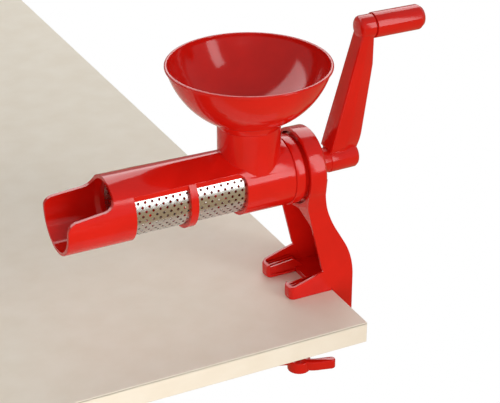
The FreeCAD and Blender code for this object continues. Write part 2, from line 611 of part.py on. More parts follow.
def foot(side):
    """One foot: an open-topped trough with a rounded tip, two ribs along it and a flat underside."""
    y_out = LEG_OUT
    y_in = LEG_OUT - FOOT_WIDTH
    heel = TABLE_EDGE - FOOT_HEEL_SET
    plan = [V(FOOT_TIP, y_in, 0), V(heel, y_in, 0), V(heel, y_out, 0), V(FOOT_TIP, y_out, 0)]
    outline = rounded_outline(plan, [FOOT_CORNER, 0, 0, FOOT_CORNER])
    body = Part.Face(outline).extrude(V(0, 0, FOOT_HEEL_HEIGHT + FOOT_HEEL_RISE))
    inner = [V(FOOT_TIP + FOOT_RIM, y_in + FOOT_RIM, 0), V(heel + FOOT_LENGTH, y_in + FOOT_RIM, 0),
             V(heel + FOOT_LENGTH, y_out - FOOT_RIM, 0), V(FOOT_TIP + FOOT_RIM, y_out - FOOT_RIM, 0)]
    well = Part.Face(rounded_outline(inner, [FOOT_CORNER - FOOT_RIM, 0, 0, FOOT_CORNER - FOOT_RIM]))
    well.translate(V(0, 0, FOOT_FLOOR))
    body = body.cut(well.extrude(V(0, 0, FOOT_HEEL_HEIGHT * 2)))
    clear = FOOT_HEEL_HEIGHT * 2.5
    slope = [V(FOOT_TIP - FOOT_SLOPE_PAST, 0, FOOT_TIP_HEIGHT - FOOT_TIP_DROP),
             V(heel - FOOT_HEEL_FLAT, 0, FOOT_HEEL_HEIGHT),
             V(heel + FOOT_SLOPE_PAST, 0, FOOT_HEEL_HEIGHT + FOOT_LEG_RISE), V(heel + FOOT_SLOPE_PAST, 0, clear),
             V(FOOT_TIP - FOOT_SLOPE_PAST, 0, clear)]
    over = side_profile(rounded_outline(slope, [0] * 5), 0, LEG_OUT + 2 * FOOT_SLOPE_PAST)
    body = body.cut(over)
    over.translate(V(0, 0, -FOOT_RIB_DROP))
    for i in range(FOOT_RIBS):
        rib_y = y_in + FOOT_RIM + (FOOT_WIDTH - 2 * FOOT_RIM) * (i + 1) / (FOOT_RIBS + 1)
        rib = block(FOOT_TIP + FOOT_RIM / 2, heel, rib_y - FOOT_RIB_HALF, rib_y + FOOT_RIB_HALF, 0,
                    FOOT_HEEL_HEIGHT)
        body = body.fuse(rib.cut(over))
    if side < 0:
        body = body.mirror(V(0, 0, 0), V(0, 1, 0))
    return body


def clamp_frame():
    """Stand in one moulding: ring, bulkhead and boss over a channel leg with two feet, a spine and a jaw."""
    solid = side_profile(leg_outline(), -RING_R, RING_R).common(front_view(LEG_OUT, RING_R, JAW_BOTTOM))
    channel = side_profile(leg_outline(), -RING_R, RING_R)
    channel.translate(V(-WEB, 0, 0))
    solid = solid.cut(channel.common(leg_hollow()))
    inner = LEG_OUT - LEG_WALL
    solid = solid.cut(block(TABLE_EDGE + WEB, SPINE_BACK + PAST, -inner, inner, JAW_BOTTOM + WEB, -WEB))
    seat = block(-SEAT_HALF, TABLE_EDGE + PAST, -LEG_OUT + PAST, LEG_OUT - PAST, 0, SEAT_THICK)
    jaw_tip = TABLE_EDGE - JAW_REACH
    jaw = block(jaw_tip, TABLE_EDGE + PAST, -JAW_HALF, JAW_HALF, JAW_BOTTOM, JAW_TOP)
    tip_edges = [e for e in jaw.Edges if e.BoundBox.XMax < jaw_tip + 0.01 and e.BoundBox.ZLength > 1]
    jaw = jaw.makeFillet(JAW_ROUND, tip_edges)
    parts = [seat, jaw, foot(1), foot(-1)]
    ring = rod(RING_R, RING_FRONT, RING_REAR)
    rear_edge = [e for e in ring.Edges if len(e.Vertexes) == 1 and abs(e.BoundBox.XMin - RING_REAR) < 0.01]
    ring = ring.makeChamfer(RING_BEVEL, rear_edge)
    boss = rod(BOSS_R, RING_REAR - PAST, BOSS_END)
    parts.append(on_barrel(ring.fuse(boss)))
    solid = solid.fuse(parts)
    mouth = rod(SEAT_BORE_R + RING_GAP, RING_FRONT - PAST, RING_FRONT + RING_GAP_DEPTH)
    socket = rod(SEAT_BORE_R, RING_FRONT - PAST, BULKHEAD_FACE)
    groove_half = LUG_LENGTH / 2 + FIT
    groove = rod(LUG_R + FIT, LUG_MIDDLE - groove_half, LUG_MIDDLE + groove_half)
    cuts = [mouth, socket, groove, rod(BUSH_R, BULKHEAD_FACE - PAST, BOSS_END + PAST)]
    for i in range(LUG_COUNT):
        reach = LUG_MIDDLE - RING_FRONT
        notch = Part.makeCylinder(LUG_R + FIT, reach, V(RING_FRONT, 0, 0), V(1, 0, 0), LUG_ANGLE + 2 * NOTCH_EASE)
        notch.rotate(V(0, 0, 0), V(1, 0, 0), 360.0 * i / LUG_COUNT + TWIST - NOTCH_EASE)
        cuts.append(notch)
    cutter = on_barrel(cuts[0].fuse(cuts[1:]))
    nut_hole = post(SCREW_R + FIT, JAW_BOTTOM - PAST, JAW_TOP + PAST, SCREW_X)
    pocket = nut_prism(NUT_FLATS, JAW_BOTTOM + (JAW_THICK - NUT_HEIGHT) / 2, NUT_HEIGHT)
    return solid.cut([cutter, nut_hole, pocket]).removeSplitter()


def nut_prism(flats, bottom, height):
    corner = flats / 2 / cos(radians(30))
    turns = [radians(60 * i) for i in range(7)]
    hexagon = [V(SCREW_X + corner * cos(turn), corner * sin(turn), bottom) for turn in turns]
    return Part.Face(Part.makePolygon(hexagon)).extrude(V(0, 0, height))


def thread_nut():
    """Hexagon nut moulded into the lower jaw."""
    bottom = JAW_BOTTOM + (JAW_THICK - NUT_HEIGHT) / 2
    body = nut_prism(NUT_FLATS, bottom, NUT_HEIGHT)
    return body.cut(post(SCREW_R + RUN, bottom - PAST, bottom + NUT_HEIGHT + PAST, SCREW_X))


def clamp_screw():
    """Screw with a reduced neck at the top, where the pad turns on it."""
    neck_bottom = PAD_BOTTOM
    body = post(SCREW_R, SCREW_BOTTOM + KNOB_FLOOR, neck_bottom, SCREW_X)
    body = body.fuse(post(NECK_OF_SCREW_R, neck_bottom, SCREW_TOP, SCREW_X))
    pin_z = SCREW_BOTTOM + KNOB_HEIGHT / 2
    return body.cut(Part.makeCylinder(KNOB_PIN_R, 2 * PAD_R, V(SCREW_X, -PAD_R, pin_z), V(0, 1, 0)))


def clamp_knob():
    """Wing knob with two waved wings on a round hub."""
    bottom = SCREW_BOTTOM
    hub = post(KNOB_HUB_R, bottom, bottom + KNOB_HEIGHT, SCREW_X)
    half = WING_SPAN / 2
    bend = half * WING_BEND
    near, far = WING_SWELL * 0.4, WING_SWELL * 0.6
    upper = Part.BSplineCurve()
    upper.interpolate([V(-half, near, 0), V(-bend, WING_SWELL, 0), V(0, WING_THICK / 2, 0), V(bend, 0, 0),
                       V(half, far, 0)])
    lower = Part.BSplineCurve()
    lower.interpolate([V(half, -near, 0), V(bend, -WING_SWELL, 0), V(0, -WING_THICK / 2, 0), V(-bend, 0, 0),
                       V(-half, -far, 0)])
    ends = [Part.LineSegment(V(half, far, 0), V(half, -near, 0)),
            Part.LineSegment(V(-half, -far, 0), V(-half, near, 0))]
    wire = Part.Wire([upper.toShape(), ends[0].toShape(), lower.toShape(), ends[1].toShape()])
    wings = Part.Face(wire).extrude(V(0, 0, KNOB_HEIGHT - 2 * WING_INSET))
    wings.rotate(V(0, 0, 0), V(0, 0, 1), WING_ANGLE)
    wings.translate(V(SCREW_X, 0, bottom + WING_INSET))
    body = hub.fuse(wings).cut(post(SCREW_R, bottom + KNOB_FLOOR, bottom + KNOB_HEIGHT + PAST, SCREW_X))
    pin_z = SCREW_BOTTOM + KNOB_HEIGHT / 2
    return body.cut(Part.makeCylinder(KNOB_PIN_R, WING_SPAN, V(SCREW_X, -half, pin_z), V(0, 1, 0)))


def knob_pin():
    """Cross pin through the knob's hub and the screw."""
    pin_z = SCREW_BOTTOM + KNOB_HEIGHT / 2
    half = KNOB_HUB_R - PIN_INSET
    return Part.makeCylinder(KNOB_PIN_R, 2 * half, V(SCREW_X, -half, pin_z), V(0, 1, 0))


def clamp_pad():
    """Dished pad that presses on the underside of the table."""
    body = post(PAD_R, PAD_BOTTOM + FACE_GAP, PAD_TOP - LINER_THICK, SCREW_X)
    body = body.cut(post(NECK_OF_SCREW_R + RUN, PAD_BOTTOM - PAST, PAD_TOP, SCREW_X))
    recess = PAD_TOP - LINER_THICK - CLIP_THICK - CLIP_ROOM
    return body.cut(post(NECK_OF_SCREW_R + CLIP_WIDTH + PAST, recess, PAD_TOP, SCREW_X))


def pad_clip():
    """Spring clip on the screw's neck, in the pad's recess."""
    bottom = PAD_TOP - LINER_THICK - CLIP_THICK - CLIP_ROOM + FACE_GAP
    clip = post(NECK_OF_SCREW_R + CLIP_WIDTH, bottom, bottom + CLIP_THICK, SCREW_X)
    return clip.cut(post(NECK_OF_SCREW_R, bottom - PAST, bottom + CLIP_THICK + PAST, SCREW_X))


def pad_liner():
    """Soft disc on the pad's face."""
    return post(PAD_R, PAD_TOP - LINER_THICK, PAD_TOP, SCREW_X)


PIECES = [clamp_frame, shaft_bush, shaft_seal, housing_gasket, barrel_housing, strainer_screen, hopper_bowl,
          feed_screw, drive_shaft, thrust_washer, crank_arm, crank_washer, crank_screw, handle_grip, grip_axle,
          grip_washer, grip_plug, thread_nut, clamp_screw, clamp_knob, knob_pin, clamp_pad, pad_clip, pad_liner]

os.makedirs("parts", exist_ok=True)
for piece in PIECES:
    shape = piece()
    shape.exportStep("parts/" + piece.__name__ + ".step")
    print(piece.__name__, len(shape.Solids), shape.isValid(), round(shape.Volume))
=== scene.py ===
"""Hand-cranked tomato strainer with a table clamp: its pieces, materials, lights and camera."""
import json
from math import acos, cos, pi, radians, sin, sqrt, tan

import bpy
from mathutils import Matrix, Vector


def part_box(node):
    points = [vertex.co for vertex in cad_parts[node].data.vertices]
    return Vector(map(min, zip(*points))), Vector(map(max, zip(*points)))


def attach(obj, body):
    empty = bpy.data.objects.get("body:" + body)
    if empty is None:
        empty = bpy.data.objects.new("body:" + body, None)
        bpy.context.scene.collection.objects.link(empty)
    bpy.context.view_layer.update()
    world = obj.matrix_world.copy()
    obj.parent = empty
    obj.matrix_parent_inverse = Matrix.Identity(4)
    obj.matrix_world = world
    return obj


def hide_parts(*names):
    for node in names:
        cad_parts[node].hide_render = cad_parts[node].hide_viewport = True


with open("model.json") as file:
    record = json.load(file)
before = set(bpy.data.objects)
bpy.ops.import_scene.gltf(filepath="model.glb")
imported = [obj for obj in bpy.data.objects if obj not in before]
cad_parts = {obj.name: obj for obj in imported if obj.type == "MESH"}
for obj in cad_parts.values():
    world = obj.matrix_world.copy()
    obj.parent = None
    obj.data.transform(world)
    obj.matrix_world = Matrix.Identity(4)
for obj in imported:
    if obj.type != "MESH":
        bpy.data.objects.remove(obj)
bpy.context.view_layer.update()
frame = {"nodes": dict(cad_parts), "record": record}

bl_info = {
    "name": "Tomato Strainer with Crank",
    "version": (1, 0, 0),
    "blender": (4, 5, 0),
    "location": "3D View > Sidebar > Strainer",
    "description": "Builds the pieces of a hand-cranked tomato strainer around its solids",
    "category": "Add Mesh",
}

MM = 0.001
NODES = frame["nodes"]
BODIES = frame["record"]["behaviour"]["bodies"]
BODY_OF = {node: body for body, nodes in BODIES.items() for node in nodes}
SLOT_OF = {row["node"]: row["material_slot"] for row in frame["record"]["subparts"]}


def middle(node):
    """The middle of a node's box."""
    low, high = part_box(node)
    return (low + high) / 2


# Middles that the pieces are placed from
SHAFT = middle("drive_shaft")
HOPPER = middle("hopper_bowl")
GRIP = middle("handle_grip")
SCREW = middle("clamp_screw")

# Lines that pieces are turned about: a point on each, and its direction
SHAFT_LINE = ((0, 0, SHAFT.z), (1, 0, 0))
HOPPER_LINE = ((HOPPER.x, 0, 0), (0, 0, 1))
GRIP_LINE = ((0, 0, GRIP.z), (1, 0, 0))
SCREW_LINE = ((SCREW.x, 0, 0), (0, 0, 1))

# Places and sizes that several pieces share
NECK_R = 30.4 * MM
NECK_TOP = SHAFT.z + 57 * MM
LUG_X = HOPPER.x + 55.5 * MM                # middle of the bayonet lugs and of their groove
LUGS = 3
TABLE_EDGE = 8 * MM
PAST = 40 * MM                              # how far cutting shapes run past what they cut
BARREL_STEPS = 160                          # facets round the barrel and the stand's ring
BOWL_STEPS = 128                            # facets round the hopper and the neck


# ---------------- settings

class StrainerSizes(bpy.types.PropertyGroup):
    """Sizes of the details that are finished here."""

    rim_bead: bpy.props.FloatProperty(
        name="Rim bead", description="Height of the rolled lip round the hopper",
        default=3.2 * MM, unit="LENGTH")
    bowl_wall: bpy.props.FloatProperty(
        name="Bowl wall", description="Thickness of the hopper's side",
        default=1.7 * MM, unit="LENGTH")
    bowl_round: bpy.props.FloatProperty(
        name="Bowl radius", description="Radius of the hopper's round side",
        default=80 * MM, unit="LENGTH")
    hole: bpy.props.FloatProperty(
        name="Strainer hole", description="Diameter of a strainer hole",
        default=2.8 * MM, unit="LENGTH")
    hole_step: bpy.props.FloatProperty(
        name="Hole spacing", description="Distance between holes along the strainer",
        default=7.0 * MM, unit="LENGTH")
    hole_rows: bpy.props.IntProperty(
        name="Rows of holes", description="Rows of holes round the strainer, an even number",
        default=42)
    screen_wall: bpy.props.FloatProperty(
        name="Strainer wall", description="Thickness of the strainer's sheet",
        default=0.6 * MM, unit="LENGTH")
    edge_round: bpy.props.FloatProperty(
        name="Moulded edge", description="Rounding of the edges of moulded pieces",
        default=0.6 * MM, unit="LENGTH")
    flight_pitch: bpy.props.FloatProperty(
        name="Flight pitch", description="Advance of the feed screw in one turn",
        default=34 * MM, unit="LENGTH")
    thread_pitch: bpy.props.FloatProperty(
        name="Thread pitch", description="Advance of the clamp screw in one turn",
        default=3 * MM, unit="LENGTH")
    thread_depth: bpy.props.FloatProperty(
        name="Thread depth", description="Depth of the clamp screw's thread",
        default=0.9 * MM, unit="LENGTH")


class StrainerColours(bpy.types.PropertyGroup):
    """Colours of the finishes."""

    red: bpy.props.FloatVectorProperty(
        name="Red plastic", description="Colour of the moulded pieces",
        size=3, subtype="COLOR", default=(0.70, 0.010, 0.005))
    steel: bpy.props.FloatVectorProperty(
        name="Stainless steel", description="Colour of the strainer",
        size=3, subtype="COLOR", default=(0.74, 0.73, 0.71))
    zinc: bpy.props.FloatVectorProperty(
        name="Plated steel", description="Colour of the shaft, screws and pins",
        size=3, subtype="COLOR", default=(0.62, 0.63, 0.65))
    brass: bpy.props.FloatVectorProperty(
        name="Brass", description="Colour of the nut in the jaw",
        size=3, subtype="COLOR", default=(0.72, 0.50, 0.20))
    nylon: bpy.props.FloatVectorProperty(
        name="Nylon", description="Colour of the bush and washers",
        size=3, subtype="COLOR", default=(0.80, 0.78, 0.70))
    rubber: bpy.props.FloatVectorProperty(
        name="Rubber", description="Colour of the seals and the pad's liner",
        size=3, subtype="COLOR", default=(0.03, 0.03, 0.032))


def sizes():
    return bpy.context.scene.strainer_sizes


def colours():
    return bpy.context.scene.strainer_colours


# ---------------- materials

def fill(node, values):
    """Sets a node's sockets, or links them where the value is another node's socket."""
    for key, value in values.items():
        if isinstance(value, bpy.types.NodeSocket):
            node.id_data.links.new(value, node.inputs[key])
        else:
            node.inputs[key].default_value = value


def adder(tree):
    """A function that adds a node to the tree."""

    def node(kind, values=None, **settings):
        made = tree.nodes.new(kind)
        for key, value in settings.items():
            setattr(made, key, value)
        fill(made, values or {})
        return made

    return node


def new_material(name):
    """A new material, its shader, a function that adds nodes to it, and its place on the piece."""
    found = bpy.data.materials.new(name)
    found.use_nodes = True
    node = adder(found.node_tree)
    place = node("ShaderNodeTexCoord").outputs["Object"]
    return found, found.node_tree.nodes["Principled BSDF"], node, place


def mottle(node, place, scale, detail, roughness=0.5):
    """Noise of a given scale."""
    values = {"Vector": place, "Scale": scale, "Detail": detail, "Roughness": roughness}
    return node("ShaderNodeTexNoise", values).outputs["Fac"]


def spread(node, source, start, end, low=0.0, high=1.0):
    """A value that goes from low to high while its source goes from start to end."""
    values = {"Value": source, "From Min": start, "From Max": end, "To Min": low, "To Max": high}
    return node("ShaderNodeMapRange", values).outputs["Result"]


def ramp(node, source, low, high):
    """A colour ramp between two colours."""
    made = node("ShaderNodeValToRGB", {"Fac": source})
    for stop, position, colour in zip(made.color_ramp.elements, (0.3, 0.7), (low, high)):
        stop.position = position
        stop.color = (*colour, 1)
    return made.outputs["Color"]


def shade(colour, factor):
    return tuple(min(1.0, c * factor) for c in colour)


def tint(node, source, colour, dark, light):
    """A colour that wanders a little darker and lighter with its source."""
    return ramp(node, source, shade(colour, dark), shade(colour, light))


def red_plastic():
    """Glossy moulded plastic: faint flow marks, a slightly uneven gloss and a soft ripple."""
    found, shader, node, place = new_material("red_plastic")
    flow = mottle(node, place, 26.0, 4.0, 0.55)
    wear = mottle(node, place, 140.0, 5.0, 0.6)
    edge = node("ShaderNodeBevel", {"Radius": sizes().edge_round}, samples=6)
    ripple = node("ShaderNodeBump", {
        "Height": mottle(node, place, 55.0, 2.0), "Strength": 0.05, "Distance": 0.4 * MM,
        "Normal": edge.outputs["Normal"]})
    fill(shader, {
        "Base Color": tint(node, flow, colours().red, 0.93, 1.06),
        "Roughness": spread(node, wear, 0.3, 0.7, 0.1, 0.14),
        "Normal": ripple.outputs["Normal"], "Specular IOR Level": 0.4})
    return found


def brushed(name, colour, rough, stretch, scratch):
    """Metal with fine lines drawn out along one direction, uneven gloss and slight stains."""
    found, shader, node, place = new_material(name)
    drawn = node("ShaderNodeMapping", {"Vector": place, "Scale": stretch}).outputs["Vector"]
    lines = mottle(node, drawn, 900.0, 3.0)
    stain = mottle(node, place, 45.0, 3.0)
    scratches = node("ShaderNodeBump", {
        "Height": lines, "Strength": scratch, "Distance": 0.05 * MM})
    fill(shader, {
        "Base Color": tint(node, stain, colour, 0.92, 1.05),
        "Roughness": spread(node, lines, 0.3, 0.7, rough - 0.05, rough + 0.06),
        "Normal": scratches.outputs["Normal"], "Metallic": 1.0})
    return found


def soft_matte(name, colour, rough, scale):
    """Dull nylon or rubber with a fine moulded grain."""
    found, shader, node, place = new_material(name)
    grain = mottle(node, place, scale, 4.0)
    pitted = node("ShaderNodeBump", {"Height": grain, "Strength": 0.15, "Distance": 0.2 * MM})
    fill(shader, {
        "Base Color": tint(node, grain, colour, 0.88, 1.10),
        "Roughness": spread(node, grain, 0.0, 1.0, rough - 0.07, rough + 0.07),
        "Normal": pitted.outputs["Normal"]})
    return found


ALONG_BARREL = (0.05, 1.0, 1.0)
ALONG_HEIGHT = (1.0, 1.0, 0.1)
FINISHES = {
    "red_plastic": red_plastic,
    "stainless": lambda: brushed("stainless", colours().steel, 0.24, ALONG_BARREL, 0.10),
    "plated_steel": lambda: brushed("plated_steel", colours().zinc, 0.30, ALONG_HEIGHT, 0.12),
    "brass": lambda: brushed("brass", colours().brass, 0.30, ALONG_HEIGHT, 0.12),
    "nylon": lambda: soft_matte("nylon", colours().nylon, 0.45, 220.0),
    "rubber": lambda: soft_matte("rubber", colours().rubber, 0.75, 300.0),
}


def finish(slot):
    """The material of a slot, made once."""
    name = slot + "_finish"
    if name not in bpy.data.materials:
        FINISHES[slot]().name = name
    return bpy.data.materials[name]


# ---------------- modelling tools

def deselect():
    """Leaves edit mode and selects nothing."""
    if bpy.context.object is not None and bpy.context.object.mode != "OBJECT":
        bpy.ops.object.mode_set(mode="OBJECT")
    bpy.ops.object.select_all(action="DESELECT")


def activate(piece):
    deselect()
    piece.select_set(True)
    bpy.context.view_layer.objects.active = piece


def edit_all(piece):
    """Opens a piece for editing, with all of it selected."""
    activate(piece)
    bpy.ops.object.mode_set(mode="EDIT")
    bpy.ops.mesh.select_all(action="SELECT")


def edit_edges(piece, chosen):
    """Opens a piece for editing, with the edges selected that a test on their two ends picks."""
    activate(piece)
    bpy.ops.object.mode_set(mode="EDIT")
    bpy.ops.mesh.select_mode(type="EDGE")
    bpy.ops.mesh.select_all(action="DESELECT")
    bpy.ops.object.mode_set(mode="OBJECT")
    for edge in piece.data.edges:
        edge.select = chosen(*(piece.data.vertices[i].co for i in edge.vertices))
    bpy.ops.object.mode_set(mode="EDIT")


def close_edit(piece):
    bpy.ops.object.mode_set(mode="OBJECT")
    return piece


def extrude(move):
    bpy.ops.mesh.extrude_region_move(TRANSFORM_OT_translate={"value": move})


def modify(piece, kind, **settings):
    """Adds a modifier and applies it."""
    activate(piece)
    made = piece.modifiers.new(kind.title(), kind)
    for key, value in settings.items():
        setattr(made, key, value)
    bpy.ops.object.modifier_apply(modifier=made.name)
    return piece


def clean(piece, gap=0.002 * MM):
    """Merges doubles and turns the faces outwards."""
    edit_all(piece)
    bpy.ops.mesh.remove_doubles(threshold=gap)
    bpy.ops.mesh.delete_loose(use_verts=True, use_edges=True, use_faces=False)
    bpy.ops.mesh.select_all(action="SELECT")
    bpy.ops.mesh.normals_make_consistent(inside=False)
    return close_edit(piece)


def smooth(piece, angle):
    activate(piece)
    bpy.ops.object.shade_smooth_by_angle(angle=radians(angle), keep_sharp_edges=False)
    return piece


def outline_of(points, fill_type="NGON"):
    """A closed outline with its corners at the given points, filled by one face or left open."""
    bpy.ops.mesh.primitive_circle_add(vertices=len(points), fill_type=fill_type,
                                      location=(0, 0, 0))
    piece = bpy.context.object
    for vertex, point in zip(piece.data.vertices, points):
        vertex.co = point
    return piece


def rounded(points, radii, steps=5):
    """The points of an outline whose corners are rounded where a radius is given."""
    line = []
    for i, radius in enumerate(radii):
        here = Vector(points[i])
        if radius <= 0:
            line.append(tuple(here))
            continue
        before = (Vector(points[i - 1]) - here).normalized()
        after = (Vector(points[(i + 1) % len(points)]) - here).normalized()
        half = before.angle(after) / 2
        reach = radius / tan(half)
        start = here + before * reach
        end = here + after * reach
        centre = here + (before + after).normalized() * (radius / sin(half))
        for k in range(steps + 1):
            blend = start.lerp(end, k / steps) - centre
            line.append(tuple(centre + blend.normalized() * radius))
    return line


def lathe(name, profile, line, steps=96):
    """Spins a closed profile, given as (distance from the line, place along it), about a line."""
    centre, axis = Vector(line[0]), Vector(line[1])
    out = Vector((0, 0, 1)) if axis.z < 0.5 else Vector((1, 0, 0))
    piece = outline_of([centre + out * r + axis * place for r, place in profile], "NOTHING")
    piece.name = name
    edit_all(piece)
    bpy.ops.mesh.spin(steps=steps, angle=2 * pi, center=centre, axis=axis)
    return clean(piece)


def turned(radius, start, end, line, steps=96, round_start=0.0, round_end=0.0):
    """A solid cylinder along a line, with rounded or square rims."""
    corners = [(0, start), (radius, start), (radius, end), (0, end)]
    return lathe("cylinder", rounded(corners, [0, round_start, round_end, 0], 4), line, steps)


def prism(outline, axis, start, end):
    """A flat outline carried along X, Y or Z. Its points are the other two coordinates."""
    place = "XYZ".index(axis)
    piece = outline_of([(*point[:place], start, *point[place:]) for point in outline])
    edit_all(piece)
    extrude([end - start if i == place else 0 for i in range(3)])
    return clean(close_edit(piece))


def loft(sections):
    """A solid through flat outlines of equally many points, one after another."""
    piece = outline_of(sections[0])
    edit_all(piece)
    for before, section in zip(sections, sections[1:]):
        bpy.ops.object.mode_set(mode="EDIT")
        extrude((0, 0, 0))
        close_edit(piece)
        vertices = piece.data.vertices
        pushed = [v for v in vertices if v.select]
        for corner, point in zip(before, section):
            nearest = min(pushed, key=lambda v: (v.co - Vector(corner)).length)
            pushed.remove(nearest)
            nearest.co = point
    return clean(piece)


def helix(corners, line, pitch, per_turn, steps):
    """A flat face carried round a line as a right-handed helix."""
    centre, axis = line
    ridge = outline_of(corners)
    edit_all(ridge)
    for _ in range(steps):
        extrude(Vector(axis) * (pitch / per_turn))
        bpy.ops.transform.rotate(value=-2 * pi / per_turn, orient_axis="X" if axis[0] else "Z",
                                 orient_type="GLOBAL", center_override=centre)
    return clean(close_edit(ridge))


def combine(piece, others, operation):
    """Joins, cuts or intersects a piece with others, which are used up."""
    for other in others:
        modify(piece, "BOOLEAN", operation=operation, object=other, solver="MANIFOLD")
        bpy.data.objects.remove(other)
    return piece


def fuse(piece, *others):
    return combine(piece, others, "UNION")


def cut(piece, *others):
    return combine(piece, others, "DIFFERENCE")


def meet(piece, *others):
    return combine(piece, others, "INTERSECT")


def join(first, *others):
    """Makes one object of several, without a cut where they meet."""
    activate(first)
    for other in others:
        other.select_set(True)
    bpy.ops.object.join()
    return first


def bevel_edges(piece, chosen, width):
    """Bevels the edges that a test on their two ends picks."""
    edit_edges(piece, chosen)
    bpy.ops.mesh.bevel(offset=width, segments=3, affect="EDGES")
    return close_edit(piece)


def skin(node):
    """A copy of a solid's mesh, merged into one smooth-shaded piece that stands for it."""
    piece = bpy.data.objects.new(node + "_shell", NODES[node].data.copy())
    bpy.context.scene.collection.objects.link(piece)
    edit_all(piece)
    bpy.ops.mesh.remove_doubles(threshold=0.004 * MM)
    return smooth(close_edit(piece), 32)


def dress(piece, nodes):
    """Gives a finished piece its body and its material, and hides the solids that it stands for."""
    slot = SLOT_OF[nodes[0]]
    piece.data.materials.clear()
    piece.data.materials.append(finish(slot))
    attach(piece, BODY_OF[nodes[0]])
    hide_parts(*nodes)


# ---------------- hopper and barrel

class STRAINER_OT_hopper(bpy.types.Operator):
    """Turned hopper bowl with its rolled lip, foot and spigot"""

    bl_idname = "strainer.hopper"
    bl_label = "Hopper bowl"
    bl_options = {"REGISTER", "UNDO"}

    def execute(self, context):
        deselect()
        low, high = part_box("hopper_bowl")
        wall = sizes().bowl_wall
        ball = sizes().bowl_round
        bead = high.z - sizes().rim_bead
        lip = (high.x - low.x) / 2
        rim = lip - 1.3 * MM
        spigot = 26.9 * MM
        foot = 32.2 * MM
        foot_height = SHAFT.z + 62.5 * MM
        centre = foot_height + sqrt(ball ** 2 - foot ** 2)

        def height(r, radius):
            return centre - sqrt(radius ** 2 - r ** 2)

        def side(start, end, radius):
            steps = 22
            first, last = (acos((centre - z) / radius) for z in (start, end))
            turns = [first + (last - first) * i / steps for i in range(steps + 1)]
            return [(radius * sin(t), centre - radius * cos(t)) for t in turns]

        inside = ball - wall
        outer = side(foot_height, height(rim, ball), ball)
        inner = side(height(rim - wall, inside), height(spigot - wall, inside), inside)
        rolled = rounded(
            [outer[-1], (rim, bead), (lip, bead + 0.5 * MM), (lip, high.z), (rim - wall, high.z),
             inner[0]],
            [0, 0.5 * MM, 0.7 * MM, 1.3 * MM, 0.9 * MM, 0], 4)
        below = rounded(
            [inner[-1], (spigot - wall, low.z), (spigot, low.z), (spigot, NECK_TOP),
             (NECK_R, NECK_TOP), (foot, foot_height)],
            [0, 0.5 * MM, 0.6 * MM, 0, 0.6 * MM, 0], 3)
        profile = below[1:-1] + outer + rolled[1:-1] + inner
        bowl = lathe("hopper_bowl_turned", profile, HOPPER_LINE, BOWL_STEPS)
        dress(smooth(bowl, 40), ["hopper_bowl"])
        return {"FINISHED"}


